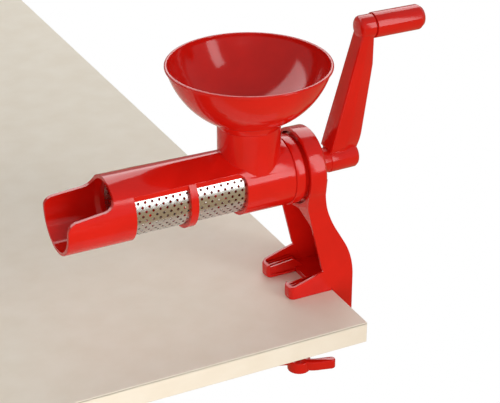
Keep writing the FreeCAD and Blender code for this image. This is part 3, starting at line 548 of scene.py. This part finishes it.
class STRAINER_OT_barrel(bpy.types.Operator):
    """Moulded barrel with its spout, windows, neck and collar"""

    bl_idname = "strainer.barrel"
    bl_label = "Barrel housing"
    bl_options = {"REGISTER", "UNDO"}

    radius = 33.5 * MM
    bore = 29.8 * MM
    collar = 34.2 * MM
    windows = ((-130.3, -75.5), (-68.0, -17.2))
    # Places along the barrel, from the hopper, and the height of the roof's panel over the axis
    roof = ((-150, 34), (-140, 33.3), (-130, 32.95), (-120, 32.6), (-112, 32.1), (-104, 31.6),
            (-96, 31.35), (-60, 30.9), (-26, 30.5), (-20, 31), (-15, 32.2), (-11, 34))

    def execute(self, context):
        deselect()
        low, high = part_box("barrel_housing")
        seam = HOPPER.x + 34.6 * MM
        drop = 0.8 * MM
        flange = HOPPER.x + 44.4 * MM
        land = flange + 5.6 * MM
        floor = 31 * MM
        outline = rounded(
            [(0, low.x), (self.radius, low.x), (self.radius, seam - drop),
             (self.radius - drop, seam - drop), (self.radius - drop, seam), (self.collar, seam),
             (self.collar, flange), (floor, flange), (floor, land), (self.collar, land),
             (self.collar, high.x), (0, high.x)],
            [0, 0.9 * MM, 0.25 * MM, 0, 0, 0.5 * MM, 0.8 * MM, 0, 0, 0, 0.5 * MM, 0], 4)
        barrel = lathe("barrel_housing_moulded", outline, SHAFT_LINE, BARREL_STEPS)
        cut(barrel, self.panel(-1, 32.5, 27, 0), self.panel(1, 31, 31, 1.2))
        fuse(barrel, turned(NECK_R, SHAFT.z, NECK_TOP, HOPPER_LINE, BOWL_STEPS, 0, 0.5 * MM))
        self.hollow(barrel, low.x - MM, high.x + MM)
        cut(barrel, turned(27.2 * MM, SHAFT.z, high.z + MM, HOPPER_LINE, BOWL_STEPS))
        for start, end in self.windows:
            cut(barrel, self.window(start, end))
        self.open_trough(barrel, low.x)
        for i in range(LUGS):
            fuse(barrel, self.lug(2 * pi * i / LUGS))
        dress(smooth(clean(barrel), 28), ["barrel_housing"])
        return {"FINISHED"}

    def panel(self, side, lean, lean_end, shallower):
        """What is planed off along one side of the roof. It runs out in the round barrel."""
        width, depth = 26, 9
        turn_start, turn_end = -130, -19
        sections = []
        for x, lift in self.roof:
            t = min(max((x - turn_start) / (turn_end - turn_start), 0), 1)
            turn = side * radians(lean + (lean_end - lean) * t)
            near = lift + shallower
            plan = [(-width, near), (width, near), (width, near + depth), (-width, near + depth)]
            sections.append([(HOPPER.x + x * MM, (y * cos(turn) + z * sin(turn)) * MM,
                              SHAFT.z + (z * cos(turn) - y * sin(turn)) * MM) for y, z in plan])
        return loft(sections)

    def hollow(self, barrel, start, end):
        """Bores the barrel, which narrows to a lip at its mouth."""
        lip = HOPPER.x - 143.4 * MM
        lip_r = 26 * MM
        behind = lip + 5 * MM
        profile = rounded(
            [(0, start), (self.bore, start), (self.bore, lip - 3.8 * MM), (lip_r, lip),
             (lip_r, behind), (self.bore, behind), (self.bore, end), (0, end)],
            [0, 0, 2 * MM, 1 * MM, 0.4 * MM, 0, 0, 0], 4)
        cut(barrel, lathe("bore", profile, SHAFT_LINE, BARREL_STEPS))

    def window(self, start, end):
        """What is cut away for a pair of windows: a ring but for its roof, with an upright lip."""
        near, far = (HOPPER.x + x * MM for x in (start, end))
        inside, outside = self.bore - 0.5 * MM, self.radius + 2 * MM
        crest = SHAFT.z + 20.4 * MM
        lip = SHAFT.z + 15.4 * MM
        reach = 26.6 * MM
        low, top = SHAFT.z - PAST, SHAFT.z + PAST
        rear_round = 10 * MM if (start, end) == self.windows[-1] else 0
        ring = lathe("window", [(inside, near), (outside, near), (outside, far), (inside, far)],
                     SHAFT_LINE, BARREL_STEPS)
        side = rounded([(near - MM, low), (far + MM, low), (far, low + MM), (far, crest),
                        (near - MM, crest)], [0, 0, 0, rear_round, 0], 12)
        meet(ring, prism(side, "Y", -PAST, PAST))
        roof = [(-reach, lip), (reach, lip), (reach, top), (-reach, top)]
        return cut(ring, prism(roof, "X", near - 2 * MM, far + 2 * MM))

    def open_trough(self, barrel, tip):
        """Takes the top off the barrel's end, which leaves a falling trough."""
        mouth = HOPPER.x - 149.5 * MM
        edge = SHAFT.z + 14 * MM
        low, top = SHAFT.z - PAST, SHAFT.z + PAST
        side = rounded([(mouth, top), (mouth, edge), (tip, edge - 5 * MM), (tip, low),
                        (tip - 20 * MM, low), (tip - 20 * MM, top)],
                       [0, 11 * MM, 10 * MM, 0, 0, 0], 12)
        cut(barrel, prism(side, "Y", -PAST, PAST))

    def lug(self, turn):
        """One bayonet lug on the collar."""
        outline = sector(self.collar - 0.8 * MM, self.collar + 1.8 * MM, turn, radians(26))
        return prism(outline, "X", LUG_X - 2 * MM, LUG_X + 2 * MM)


def sector(inner, outer, start, width):
    """A part of a flat ring round the shaft."""
    arc = [start + width * i / 8 for i in range(9)]
    outline = [(inner * cos(t), SHAFT.z + inner * sin(t)) for t in arc]
    return outline + [(outer * cos(t), SHAFT.z + outer * sin(t)) for t in reversed(arc)]


class STRAINER_OT_screen(bpy.types.Operator):
    """Perforated steel strainer with its full pattern of round holes and its plain end bands"""

    bl_idname = "strainer.screen"
    bl_label = "Strainer"
    bl_options = {"REGISTER", "UNDO"}

    def execute(self, context):
        deselect()
        low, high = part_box("strainer_screen")
        radius = (high.z - low.z) / 2
        band = 3.4 * MM
        pierced = high.x - low.x - 2 * band
        rows = sizes().hole_rows
        columns = round(pierced / (sizes().hole_step / 2))
        columns += columns % 2
        step = pierced / columns
        across = 2 * pi * radius / rows
        sheet = self.unit_sheet(step, across)
        for count, offset in ((columns // 2, (2 * step, 0, 0)), (rows // 2, (0, 2 * across, 0))):
            modify(sheet, "ARRAY", count=count, use_relative_offset=False,
                   use_constant_offset=True, constant_offset_displace=offset,
                   use_merge_vertices=True, merge_threshold=0.01 * MM)
        for vertex in sheet.data.vertices:
            turn = vertex.co.y / radius
            vertex.co = (low.x + band + vertex.co.x, radius * sin(turn),
                         SHAFT.z + radius * cos(turn))
        self.add_bands(sheet, low.x, high.x, band)
        clean(sheet, 0.02 * MM)
        face = max(sheet.data.polygons, key=lambda p: p.area)
        outward = face.center - Vector((face.center.x, 0, SHAFT.z))
        if face.normal.dot(outward) < 0:
            sheet.data.flip_normals()
        modify(sheet, "SOLIDIFY", thickness=sizes().screen_wall, offset=-1.0,
               use_even_offset=False)
        dress(smooth(sheet, 40), ["strainer_screen"])
        return {"FINISHED"}

    def unit_sheet(self, step, across):
        """Two columns by two rows of the sheet, with one whole hole in every second cell."""
        cells = [self.cell(column * step, row * across, step, across, (column + row) % 2 == 0)
                 for column in range(2) for row in range(2)]
        sheet = join(*cells)
        sheet.name = "strainer_screen_perforated"
        return clean(sheet, 0.01 * MM)

    def cell(self, x, y, step, across, pierced):
        """One cell, with a round hole whose rim is joined to the cell's corners and sides."""
        bpy.ops.mesh.primitive_grid_add(x_subdivisions=2, y_subdivisions=2, size=1,
                                        location=(0, 0, 0))
        cell = bpy.context.object
        for vertex in cell.data.vertices:
            vertex.co = ((vertex.co.x + 0.5) * step + x, (vertex.co.y + 0.5) * across + y, 0)
        if not pierced:
            return cell
        bpy.ops.object.mode_set(mode="EDIT")
        bpy.ops.mesh.select_mode(type="FACE")
        bpy.ops.mesh.select_all(action="SELECT")
        bpy.ops.mesh.dissolve_faces()
        bpy.ops.mesh.inset(thickness=0.2 * step)
        bpy.ops.mesh.delete(type="FACE")
        close_edit(cell)
        centre = Vector((x + step / 2, y + across / 2, 0))
        for vertex in cell.data.vertices:
            out = vertex.co - centre
            if abs(out.x) < 0.49 * step and abs(out.y) < 0.49 * across:
                vertex.co = centre + out.normalized() * sizes().hole / 2
        return cell

    def add_bands(self, sheet, start, end, band):
        """The plain band at each end."""
        for place, target in ((start + band, start), (end - band, end)):
            edit_edges(sheet, lambda a, b: max(abs(a.x - place), abs(b.x - place)) < 0.05 * MM)
            extrude((target - place, 0, 0))
            close_edit(sheet)


class STRAINER_OT_feed_screw(bpy.types.Operator):
    """Feed screw: tapered core with a round nose and one smooth helical flight"""

    bl_idname = "strainer.feed_screw"
    bl_label = "Feed screw"
    bl_options = {"REGISTER", "UNDO"}

    def execute(self, context):
        deselect()
        low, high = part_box("feed_screw")
        front = low.x + 6 * MM
        rear = high.x
        front_r = 15 * MM
        rear_r = 10.5 * MM
        socket_r = 5.9 * MM
        socket = rear - 24 * MM
        nose = [(front_r * cos(t * pi / 16), front - 5.9 * MM * sin(t * pi / 16))
                for t in range(8, -1, -1)]
        profile = nose + [(rear_r, rear), (socket_r, rear), (socket_r, socket), (0, socket)]
        core = lathe("feed_screw_moulded", profile, SHAFT_LINE, 64)
        fuse(core, self.flight(front, rear - 17.5 * MM, (high.z - low.z) / 2))
        dress(smooth(clean(core), 35), ["feed_screw"])
        return {"FINISHED"}

    def flight(self, front, rear, tip):
        pitch = sizes().flight_pitch
        root = 8.5 * MM
        per_turn = 48
        section = rounded([(root, -2.2 * MM), (tip, -1.2 * MM), (tip, 1.2 * MM), (root, 2.2 * MM)],
                          [0, 0.9 * MM, 0.9 * MM, 0], 4)
        corners = [(front + along, radius, SHAFT.z) for radius, along in section]
        steps = round((rear - front) / pitch * per_turn)
        return helix(corners, SHAFT_LINE, pitch, per_turn, steps)


# ---------------- stand

class STRAINER_OT_stand(bpy.types.Operator):
    """Stand: ring, bearing boss, legs, feet, spine and lower jaw"""

    bl_idname = "strainer.stand"
    bl_label = "Stand"
    bl_options = {"REGISTER", "UNDO"}

    front = HOPPER.x + 46.8 * MM
    rear = HOPPER.x + 65 * MM
    leg = 33 * MM
    wall = 4 * MM
    back = 30 * MM
    jaw = -70 * MM

    def execute(self, context):
        deselect()
        low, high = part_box("clamp_frame")
        front, rear = self.front, self.rear
        half = (high.y - low.y) / 2
        ring_r = half + 1.5 * MM
        stand = self.legs(low.x, high.x, half, SHAFT.z - ring_r - 0.5 * MM)
        stand.name = "clamp_frame_moulded"
        seat_x, seat_y = TABLE_EDGE + MM, self.leg - MM
        seat = [(-TABLE_EDGE, -seat_y), (seat_x, -seat_y), (seat_x, seat_y), (-TABLE_EDGE, seat_y)]
        tip = TABLE_EDGE - 36 * MM
        arm = 17 * MM
        plate = rounded([(tip, -arm), (seat_x, -arm), (seat_x, arm), (tip, arm)],
                        [14 * MM, 0, 0, 14 * MM], 10)
        fuse(stand, prism(seat, "Z", 0, 5 * MM), prism(plate, "Z", self.jaw, self.jaw + 12 * MM),
             self.foot(1), self.foot(-1))
        rim = 2.2 * MM
        ring = rounded([(0, front), (ring_r, front), (ring_r, rear - rim), (ring_r - rim, rear),
                        (0, rear)], [0, 0.7 * MM, 0.8 * MM, 0.8 * MM, 0], 4)
        boss = turned(12.3 * MM, rear - MM, rear + 21 * MM, SHAFT_LINE, 96, 0, 0.8 * MM)
        fuse(stand, lathe("ring", ring, SHAFT_LINE, BARREL_STEPS), boss)
        self.open_socket(stand)
        dress(smooth(clean(stand), 28), ["clamp_frame"])
        return {"FINISHED"}

    def legs(self, low, high, half, crown):
        """The two legs and the spine, open in front and behind, under the sloping web."""
        top = SHAFT.z
        leg, wall, jaw = self.leg, self.wall, self.jaw
        shoulder = top - 36 * MM
        side = rounded(
            [(self.front, top), (self.front, top - 30 * MM), (TABLE_EDGE - 13 * MM, 27 * MM),
             (TABLE_EDGE, 0), (TABLE_EDGE, jaw), (self.back, jaw), (self.back, top - 95 * MM),
             (self.rear + 3.5 * MM, top - 42 * MM), (self.rear, top - 18 * MM), (self.rear, top)],
            [0, 25 * MM, 0, 0, 0, 6 * MM, 80 * MM, 110 * MM, 0, 0], 12)
        face = rounded([(-half, top), (-leg, shoulder), (-leg, jaw), (leg, jaw), (leg, shoulder),
                        (half, top)], [0, 40 * MM, 0, 0, 40 * MM, 0], 8)
        stand = meet(prism(side, "Y", -half, half), prism(face, "X", low - MM, high + MM))
        inner = leg - 2.8 * MM
        web = 10 * MM
        web_foot = crown - 12 * MM
        hollow = [(-inner, 5 * MM), (inner, 5 * MM), (inner, web_foot), (web, crown),
                  (-web, crown), (-inner, web_foot)]
        channel = prism([(x - wall, z) for x, z in side], "Y", -half, half)
        cut(stand, meet(channel, prism(hollow, "X", low - 10 * MM, high + 10 * MM)))
        spine = [(-inner, jaw + wall), (inner, jaw + wall), (inner, -wall), (-inner, -wall)]
        return cut(stand, prism(spine, "X", TABLE_EDGE + wall, self.back + MM))

    def foot(self, side):
        """One foot: a rounded toe, open on top and towards the middle, with three ribs along it."""
        tip, heel = -40 * MM, 6 * MM
        inner, outer = 16 * MM, 33 * MM
        toe = tip + 3.2 * MM
        near = tip + 6 * MM
        edge = 1.4 * MM
        outline = rounded([(tip, inner), (heel, inner), (heel, outer), (tip, outer)],
                          [5.5 * MM, 0, 0, 5.5 * MM], 8)
        foot = prism([(x, side * y) for x, y in outline], "Z", 0, 28 * MM)

        def sole(a, b):
            return min(a.x, b.x) < near and abs(a.z - b.z) < MM and b.z < MM

        def rim(a, b):
            off_wall = max(abs(a.x - toe), abs(b.x - toe)) > 0.05 * MM
            at_toe = max(a.x, b.x) < near and min(a.x, b.x) < toe - 0.05 * MM
            return min(a.z, b.z) > 11 * MM and at_toe and off_wall

        bevel_edges(foot, sole, edge)
        open_in, open_out = side * (inner - 5 * MM), side * (outer - 2.6 * MM)
        open_end = heel + 30 * MM
        opening = rounded([(toe, open_in), (open_end, open_in), (open_end, open_out),
                           (toe, open_out)], [0, 0, 0, 3 * MM], 6)
        cut(foot, prism(opening, "Z", 3.2 * MM, 48 * MM))
        before, behind, top = tip - 5 * MM, heel + 5 * MM, 60 * MM
        slope = [(before, 11.4 * MM), (heel - 10 * MM, 24 * MM), (behind, 33 * MM),
                 (behind, top), (before, top)]
        cut(foot, prism(slope, "Y", -PAST, PAST))
        bevel_edges(foot, rim, edge)
        rib_side = [(tip + 2 * MM, 0.5 * MM), (heel, 0.5 * MM), (heel - 15 * MM, 14.5 * MM),
                    (tip + 2 * MM, 11.4 * MM)]
        over_ribs = [(x, z - 1.2 * MM) for x, z in slope]
        rib_half = 0.9 * MM
        for i in range(3):
            y = side * (inner + (2.6 + 4.6 * i) * MM)
            rib = prism(rib_side, "Y", y - rib_half, y + rib_half)
            fuse(foot, cut(rib, prism(over_ribs, "Y", -PAST, PAST)))
        return foot

    def open_socket(self, stand):
        """Cuts the barrel's socket with its bayonet groove, the bore and the screw's hole."""
        front, rear = self.front, self.rear
        face = rear - 5 * MM
        lead = front + 5 * MM
        lead_r = 36 * MM
        socket_r = 34.5 * MM
        groove_r = 36.3 * MM
        groove, groove_end = LUG_X - 2.3 * MM, LUG_X + 2.3 * MM
        outline = [(0, front - MM), (lead_r, front - MM), (lead_r, lead), (socket_r, lead),
                   (socket_r, groove), (groove_r, groove), (groove_r, groove_end),
                   (socket_r, groove_end), (socket_r, face), (0, face)]
        cut(stand, lathe("socket", outline, SHAFT_LINE, BARREL_STEPS))
        cut(stand, turned(8.25 * MM, face - MM, rear + 30 * MM, SHAFT_LINE, 72))
        for i in range(LUGS):
            notch = sector(33 * MM, groove_r, radians(360 / LUGS * i + 38), radians(30))
            cut(stand, prism(notch, "X", front - MM, LUG_X))
        cut(stand, turned(5.3 * MM, self.jaw - MM, self.jaw + 13 * MM, SCREW_LINE, 48))


# ---------------- crank

class STRAINER_OT_crank(bpy.types.Operator):
    """Crank: hub, leaning arm and handle boss"""

    bl_idname = "strainer.crank"
    bl_label = "Crank arm"
    bl_options = {"REGISTER", "UNDO"}

    def execute(self, context):
        deselect()
        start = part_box("crank_arm")[0].x
        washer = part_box("crank_washer")[0].x
        hub_end = start + 31.6 * MM
        head_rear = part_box("grip_washer")[0].x + 0.3 * MM
        front = head_rear - 16.1 * MM
        hub = [(0, start), (12.1 * MM, start), (12.8 * MM, start + 0.7 * MM),
               (12.4 * MM, hub_end - 2.8 * MM), (12.1 * MM, hub_end - 2.2 * MM),
               (10.9 * MM, hub_end - 0.3 * MM), (10.5 * MM, hub_end), (0, hub_end)]
        head = [(0, front), (6 * MM, front + 0.25 * MM), (8.2 * MM, front + 0.6 * MM),
                (9.8 * MM, front + 1.3 * MM), (10.9 * MM, front + 2.4 * MM),
                (11.4 * MM, front + 4 * MM), (11.4 * MM, head_rear - 0.5 * MM),
                (10.9 * MM, head_rear), (0, head_rear)]
        arm = self.arm(start, head_rear)
        arm.name = "crank_arm_moulded"
        fuse(arm, lathe("hub", hub, SHAFT_LINE), lathe("head", head, GRIP_LINE))
        cut(arm, turned(8.3 * MM, washer, hub_end + MM, SHAFT_LINE, 64))
        square = 4.15 * MM
        socket = [(-square, SHAFT.z - square), (square, SHAFT.z - square),
                  (square, SHAFT.z + square), (-square, SHAFT.z + square)]
        cut(arm, prism(socket, "X", start - MM, washer - 0.8 * MM))
        dress(smooth(clean(arm), 30), ["crank_arm"])
        return {"FINISHED"}

    def arm(self, start, head_rear):
        """The leaning, tapered arm: a flat front, and sides whose rear halves turn in.

        Its measures are in millimetres, and change evenly with the height over the shaft.
        """
        ankle, hub_top, shoulder, flare_end, top = 8.5, 13, 20.5, 24, 127
        inside = 0.05
        sections = []
        for up in (ankle, 12.6, 13.2, 15, 17.5, 19, shoulder, 22, flare_end, 27, 60, 95, top):
            front = 10.6 + 0.285 * up
            bend = 29.5 + 0.197 * up
            rear = min(47.2 + 0.145 * up, head_rear / MM - inside)
            inset = 5.2 - 0.018 * up
            wide = half = 11.3 - 0.0185 * (up - shoulder)
            if up < flare_end:
                dent = 0.5 * max(0, 1 - abs(up - shoulder) / 3.5)
                half = min(half, 7.6 + (up - ankle) * 0.31) - dent
            if up < hub_top:
                front, wide = start / MM + inside, half
            plan = rounded([(front, wide), (front, -wide), (bend, -half), (rear, inset - half),
                            (rear, half - inset), (bend, half)], [1.8, 1.8, 6, 2.2, 2.2, 6], 4)
            sections.append([(x * MM, y * MM, SHAFT.z + up * MM) for x, y in plan])
        return loft(sections)


class STRAINER_OT_grip(bpy.types.Operator):
    """Handle grip: nearly straight, with a short cone at its outer end and a recess for the plug"""

    bl_idname = "strainer.grip"
    bl_label = "Handle grip"
    bl_options = {"REGISTER", "UNDO"}

    def execute(self, context):
        deselect()
        low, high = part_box("handle_grip")
        radius = (high.z - low.z) / 2
        length = high.x - low.x
        bore = 4.3 * MM
        recess = 6.8 * MM
        floor = length - 7.5 * MM
        cone = length - 4.4 * MM
        profile = rounded([(bore, 0), (radius, 0), (radius - 0.1 * MM, cone),
                           (9.4 * MM, length), (recess, length)],
                          [0, 0.6 * MM, 3 * MM, 0.8 * MM, 0], 6)
        profile += [(recess, floor), (bore, floor)]
        grip = lathe("handle_grip_turned", profile, ((low.x, 0, GRIP.z), (1, 0, 0)), 72)
        dress(smooth(grip, 40), ["handle_grip"])
        return {"FINISHED"}


# ---------------- clamp

class STRAINER_OT_clamp(bpy.types.Operator):
    """Threaded clamp screw and its wing knob"""

    bl_idname = "strainer.clamp"
    bl_label = "Clamp screw and knob"
    bl_options = {"REGISTER", "UNDO"}

    def execute(self, context):
        deselect()
        self.knob()
        self.screw()
        return {"FINISHED"}

    def knob(self):
        """Wing knob: two thick wings that curve away from a hub."""
        low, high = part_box("clamp_knob")
        centre = Vector((SCREW.x, 0))
        outline = [tuple(centre + point) for point in self.wings(4.2 * MM)]
        knob = prism(outline, "Z", low.z + 2.6 * MM, low.z + 13.4 * MM)
        knob.name = "clamp_knob_moulded"
        bevel_edges(knob, lambda a, b: abs(a.z - b.z) < 0.01 * MM, 1.6 * MM)
        edge = 1.2 * MM
        fuse(knob, turned(12 * MM, low.z + 0.4 * MM, high.z, SCREW_LINE, 96, edge, edge))
        cut(knob, turned(5.1 * MM, low.z + 3 * MM, high.z + MM, SCREW_LINE, 48))
        dress(smooth(clean(knob), 32), ["clamp_knob"])

    def wings(self, thick):
        """Outline of the wings: a curve and its half turn, made thick and rounded at the tips."""
        bend = [(0, 0), (8 * MM, -13.6 * MM), (13.3 * MM, -11 * MM), (29.5 * MM, -16.1 * MM)]
        steps = 16
        wing = []
        for i in range(1, steps + 1):
            t = i / steps
            weights = ((1 - t) ** 3, 3 * t * (1 - t) ** 2, 3 * t ** 2 * (1 - t), t ** 3)
            wing.append(Vector([sum(w * p[k] for w, p in zip(weights, bend)) for k in (0, 1)]))
        spine = [-p for p in reversed(wing)] + [Vector((0, 0))] + wing
        over, under = [], []
        for i, point in enumerate(spine):
            along = (spine[min(i + 1, len(spine) - 1)] - spine[max(i - 1, 0)]).normalized()
            across = Vector((-along.y, along.x)) * thick
            over.append(point + across)
            under.append(point - across)
        tip_steps = 8
        turn = Matrix.Rotation(-pi / tip_steps, 2)
        tip, side = [], over[-1] - spine[-1]
        for _ in range(tip_steps - 1):
            side = turn @ side
            tip.append(spine[-1] + side)
        return over + tip + under[::-1] + [-p for p in tip]

    def screw(self):
        low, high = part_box("clamp_screw")
        edge = 0.4 * MM
        radius = 5 * MM
        neck = 3.4 * MM
        core = radius - sizes().thread_depth
        pitch = sizes().thread_pitch
        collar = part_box("clamp_pad")[0].z
        start, end = low.z + 12 * MM, collar - 3 * MM
        run_out = sizes().thread_depth
        profile = [
            (0, low.z), (radius - 0.6 * MM, low.z), (radius, low.z + 0.6 * MM), (radius, start),
            (core, start + run_out), (core, end - run_out), (radius, end),
            (radius, collar - 0.5 * MM), (radius - 0.5 * MM, collar), (neck, collar),
            (neck, high.z - edge), (neck - edge, high.z), (0, high.z)]
        rod = lathe("clamp_screw_threaded", profile, SCREW_LINE, 48)
        root = SCREW.x + core - 0.3 * MM
        crest = SCREW.x + radius
        corners = [(x, 0, start + share * pitch) for x, share in
                   ((root, -0.46), (crest, -0.07), (crest, 0.07), (root, 0.46))]
        per_turn = 32
        ridge = helix(corners, SCREW_LINE, pitch, per_turn, round((end - start) / pitch * per_turn))
        dress(smooth(join(rod, ridge), 35), ["clamp_screw"])


class STRAINER_OT_fittings(bpy.types.Operator):
    """Shaft, bush, seals, washers, pins, screw and nut"""

    bl_idname = "strainer.fittings"
    bl_label = "Shaft and fittings"
    bl_options = {"REGISTER", "UNDO"}

    def execute(self, context):
        deselect()
        for node in ("drive_shaft", "shaft_bush", "shaft_seal", "housing_gasket", "thrust_washer",
                     "crank_washer", "crank_screw", "grip_axle", "grip_washer", "grip_plug",
                     "thread_nut", "knob_pin", "clamp_pad", "pad_clip", "pad_liner"):
            dress(skin(node), [node])
        return {"FINISHED"}


# ---------------- stage

class STRAINER_OT_stage(bpy.types.Operator):
    """Pale table top, white surroundings, soft lamps and the camera"""

    bl_idname = "strainer.stage"
    bl_label = "Stage"
    bl_options = {"REGISTER", "UNDO"}

    def execute(self, context):
        deselect()
        self.table()
        self.surroundings()
        self.lamps()
        self.camera()
        return {"FINISHED"}

    def table(self):
        """A pale board: its top, and the strip that shows along its front edge."""
        found, shader, node, place = new_material("pale_table")
        grain = mottle(node, place, 30.0, 4.0)
        fill(shader, {"Base Color": ramp(node, grain, (0.84, 0.76, 0.63), (0.88, 0.81, 0.69)),
                      "Roughness": 0.6})
        length, depth, sheet = 1.4, 1.3, 2.5 * MM
        strip, board = 6 * MM, 22 * MM
        gap = 0.2 * MM
        middle_x = TABLE_EDGE - gap - length / 2
        front = -0.101
        for name, size, centre in (
                ("table_top", (length, depth, sheet), (middle_x, front + depth / 2, -sheet / 2)),
                ("table_front", (length, strip, board),
                 (middle_x, front + strip / 2, -board / 2 - 0.01 * MM))):
            bpy.ops.mesh.primitive_cube_add(size=1, location=centre)
            piece = bpy.context.object
            piece.name = name
            piece.scale = size
            bpy.ops.object.transform_apply(location=True, rotation=True, scale=True)
            modify(piece, "BEVEL", width=0.8 * MM, segments=3)
            piece.data.materials.append(found)

    def surroundings(self):
        """White to the camera, and to gloss on the backdrop's side; plain light on all else."""
        world = bpy.data.worlds.new("studio")
        bpy.context.scene.world = world
        world.use_nodes = True
        world.node_tree.nodes.clear()
        node = adder(world.node_tree)
        white = (1, 1, 1, 1)
        warm = (0.95, 0.70, 0.42, 1)
        dim, bright = 0.42, 4.0
        path = node("ShaderNodeLightPath").outputs
        place = node("ShaderNodeTexCoord").outputs["Generated"]
        towards = node("ShaderNodeSeparateXYZ", {0: place}).outputs

        def both(first, second, operation="MULTIPLY"):
            return node("ShaderNodeMath", {0: first, 1: second}, operation=operation).outputs[0]

        def light(colour, strength):
            return node("ShaderNodeBackground", {"Color": colour, "Strength": strength}).outputs[0]

        def blend(factor, first, second):
            return node("ShaderNodeMixShader", {0: factor, 1: first, 2: second}).outputs[0]

        room = blend(spread(node, towards["Z"], -0.15, 0.05), light(warm, dim), light(white, dim))
        behind = both(spread(node, towards["Y"], 0.26, 0.31),
                      spread(node, towards["Z"], 0.34, 0.38))
        lit = blend(both(path["Is Glossy Ray"], behind), room, light(white, bright))
        clear = both(path["Is Camera Ray"], path["Is Transmission Ray"], "MAXIMUM")
        node("ShaderNodeOutputWorld", {"Surface": blend(clear, lit, light(white, 1.0))})

    def lamps(self):
        """A tall soft box far off on the right, one lamp behind and three low ones in front.

        Only the soft box shows in gloss.
        """
        aim = Vector((-0.04, 0, SHAFT.z))
        for name, place, width, height, power, target in (
                ("lamp_key", (1.37, -2.65, 1.34), 0.84, 2.5, 28.0, aim),
                ("lamp_back", (0.33, 0.95, 0.75), 0.6, 0.9, 2.2, aim),
                ("lamp_fill", (-0.15, -1.2, 0.02), 1.0, 0.6, 0.6, aim),
                ("lamp_left", (-0.40, -1.0, 0.5), 0.4, 0.4, 1.4, aim),
                ("lamp_low", (-0.30, -0.55, 0.03), 0.5, 0.3, 1.2, HOPPER)):
            bpy.ops.object.light_add(type="AREA", location=place)
            lamp = bpy.context.object
            lamp.name = name
            lamp.data.shape = "RECTANGLE"
            lamp.data.size = width
            lamp.data.size_y = height
            lamp.data.energy = power
            lamp.visible_camera = False
            lamp.visible_glossy = name == "lamp_key"
            lamp.rotation_euler = (target - Vector(place)).to_track_quat("-Z", "Y").to_euler()

    def camera(self):
        data = bpy.data.cameras.new("camera")
        data.sensor_width = 36.0
        data.lens = 115.2
        data.clip_end = 20.0
        camera = bpy.data.objects.new("camera", data)
        bpy.context.scene.collection.objects.link(camera)
        turn, rise = radians(-26.67), radians(27.52)
        back = Vector((sin(turn) * cos(rise), -cos(turn) * cos(rise), sin(rise)))
        right = Vector((cos(turn), sin(turn), 0))
        facing = Matrix((right, back.cross(right), back)).transposed().to_4x4()
        camera.matrix_world = Matrix.Translation((-0.68404, -1.22578, 0.81702)) @ facing
        bpy.context.scene.camera = camera
        bpy.context.scene.view_settings.view_transform = "Standard"


# ---------------- panel and registration

OPERATORS = (STRAINER_OT_hopper, STRAINER_OT_barrel, STRAINER_OT_screen, STRAINER_OT_feed_screw,
             STRAINER_OT_stand, STRAINER_OT_crank, STRAINER_OT_grip, STRAINER_OT_clamp,
             STRAINER_OT_fittings, STRAINER_OT_stage)


class STRAINER_PT_panel(bpy.types.Panel):
    """Lists the settings and the operators"""

    bl_idname = "STRAINER_PT_panel"
    bl_label = "Tomato Strainer"
    bl_space_type = "VIEW_3D"
    bl_region_type = "UI"
    bl_category = "Strainer"

    def draw(self, context):
        for group in (context.scene.strainer_sizes, context.scene.strainer_colours):
            box = self.layout.box()
            for name in group.__annotations__:
                box.prop(group, name)
        for operator in OPERATORS:
            self.layout.operator(operator.bl_idname)


CLASSES = (StrainerSizes, StrainerColours, *OPERATORS, STRAINER_PT_panel)


def register():
    for kind in CLASSES:
        bpy.utils.register_class(kind)
    bpy.types.Scene.strainer_sizes = bpy.props.PointerProperty(type=StrainerSizes)
    bpy.types.Scene.strainer_colours = bpy.props.PointerProperty(type=StrainerColours)


def unregister():
    del bpy.types.Scene.strainer_colours
    del bpy.types.Scene.strainer_sizes
    for kind in reversed(CLASSES):
        bpy.utils.unregister_class(kind)


def main():
    register()
    for operator in OPERATORS:
        group, name = operator.bl_idname.split(".")
        getattr(getattr(bpy.ops, group), name)()


if __name__ == "__main__":
    main()
